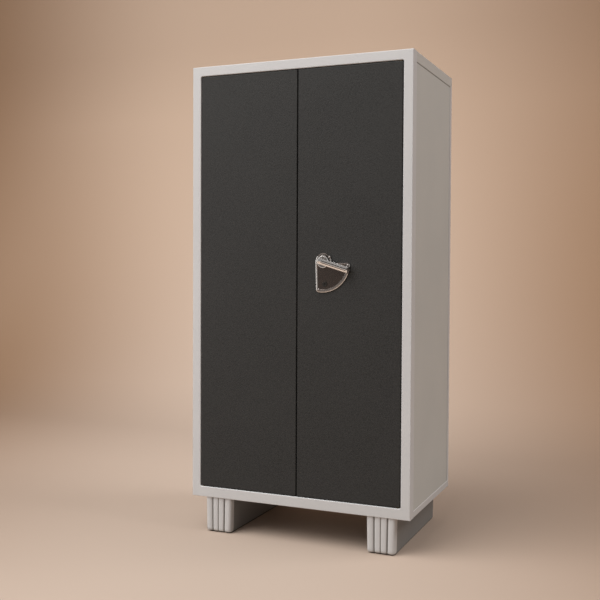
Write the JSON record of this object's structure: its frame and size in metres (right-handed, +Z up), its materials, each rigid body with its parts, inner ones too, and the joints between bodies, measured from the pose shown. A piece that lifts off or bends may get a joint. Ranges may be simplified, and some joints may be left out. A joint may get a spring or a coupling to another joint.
{
  "type": "double-door steel wardrobe",
  "caption": "Double-door sheet-steel wardrobe on ribbed feet, with a chromed lever handle on the right door that works rods and a side bolt.",
  "frame": {"origin": "on the floor, in the middle of the width and of the depth with the lever handle included", "axes": "+Z up, the doors and the lever face -Y, +X to the viewer's right"},
  "size_m": [0.978, 0.613, 1.98],
  "materials": {
    "frame_paint": "satin enamel, warm light grey",
    "door_paint": "fine hammered enamel, dark grey",
    "chrome_plate": "bright plated",
    "lock_steel": "zinc plated, dull",
    "brass_bush": "turned",
    "sole_rubber": "matte",
    "lock_black": "black oxide"
  },
  "bodies": {
    "cabinet": {"front_rail_top": "frame_paint", "front_rail_bottom": "frame_paint", "front_stile_left": "frame_paint", "front_stile_right": "frame_paint", "top_cap": "frame_paint", "bottom_pan": "frame_paint", "back_panel": "frame_paint", "side_panel_left": "frame_paint", "side_panel_right": "frame_paint", "foot_left": "frame_paint", "foot_right": "frame_paint", "foot_cover_left": "frame_paint", "foot_cover_right": "frame_paint", "foot_sole_left": "sole_rubber", "foot_sole_right": "sole_rubber", "hat_shelf": "frame_paint", "partition": "frame_paint", "hat_shelf_ledge_left": "frame_paint", "hat_shelf_ledge_right": "frame_paint", "pilaster_left_front": "frame_paint", "pilaster_left_back": "frame_paint", "pilaster_right_front": "frame_paint", "pilaster_right_back": "frame_paint", "shelf_lower": "frame_paint", "shelf_middle": "frame_paint", "shelf_upper": "frame_paint", "hanging_rod": "chrome_plate", "rod_socket_left": "chrome_plate", "rod_socket_right": "chrome_plate", "left_top_pivot_pin": "lock_steel", "left_bottom_pivot_pin": "lock_steel", "right_top_pivot_pin": "lock_steel", "right_bottom_pivot_pin": "lock_steel"},
    "left_door": {"left_door_panel": "door_paint", "left_door_stiffener": "door_paint", "left_top_pivot_bush": "brass_bush", "left_bottom_pivot_bush": "brass_bush"},
    "right_door": {"right_door_panel": "door_paint", "right_door_stiffener": "door_paint", "right_top_pivot_bush": "brass_bush", "right_bottom_pivot_bush": "brass_bush", "handle_plate": "chrome_plate", "plate_screw_foot": "chrome_plate", "plate_screw_tip": "chrome_plate", "plate_screw_boss": "chrome_plate", "lock_barrel": "lock_black", "lock_bridge": "lock_steel", "top_rod_guide": "lock_steel", "bottom_rod_guide": "lock_steel", "side_bolt_guide": "lock_steel"},
    "handle": {"lever_handle": "chrome_plate", "spindle": "lock_steel", "lock_cam": "lock_steel"},
    "key": {"key_plug": "lock_black", "lock_tongue": "lock_steel"},
    "top_rod": {"top_rod": "lock_steel"},
    "bottom_rod": {"bottom_rod": "lock_steel"},
    "side_bolt": {"side_bolt": "lock_steel"}
  },
  "joints": [
    {"name": "left_door_hinge", "type": "hinge", "parent": "cabinet", "child": "left_door", "pos_m": [-0.437, -0.2675, 0.1966], "axis": [0, 0, -1], "range_deg": [0, 100]},
    {"name": "right_door_hinge", "type": "hinge", "parent": "cabinet", "child": "right_door", "pos_m": [0.437, -0.2675, 0.1966], "axis": [0, 0, 1], "range_deg": [0, 100]},
    {"name": "handle_turn", "type": "hinge", "parent": "right_door", "child": "handle", "pos_m": [0.119, -0.2765, 1.1585], "axis": [0, 1, 0], "range_deg": [0, 70]},
    {"name": "key_turn", "type": "hinge", "parent": "right_door", "child": "key", "pos_m": [0.125, -0.2765, 1.0685], "axis": [0, -1, 0], "range_deg": [0, 90]},
    {"name": "top_rod_slide", "type": "slide", "parent": "right_door", "child": "top_rod", "axis": [0, 0, 1], "range_m": [0, 0.02]},
    {"name": "bottom_rod_slide", "type": "slide", "parent": "right_door", "child": "bottom_rod", "axis": [0, 0, -1], "range_m": [0, 0.02]},
    {"name": "side_bolt_slide", "type": "slide", "parent": "right_door", "child": "side_bolt", "axis": [-1, 0, 0], "range_m": [0, 0.02]}
  ],
  "couplings": [
    {"joint": "top_rod_slide", "follows": "handle_turn", "m_per_rad": 0.01637},
    {"joint": "bottom_rod_slide", "follows": "handle_turn", "m_per_rad": 0.01637},
    {"joint": "side_bolt_slide", "follows": "handle_turn", "m_per_rad": 0.01637}
  ]
}
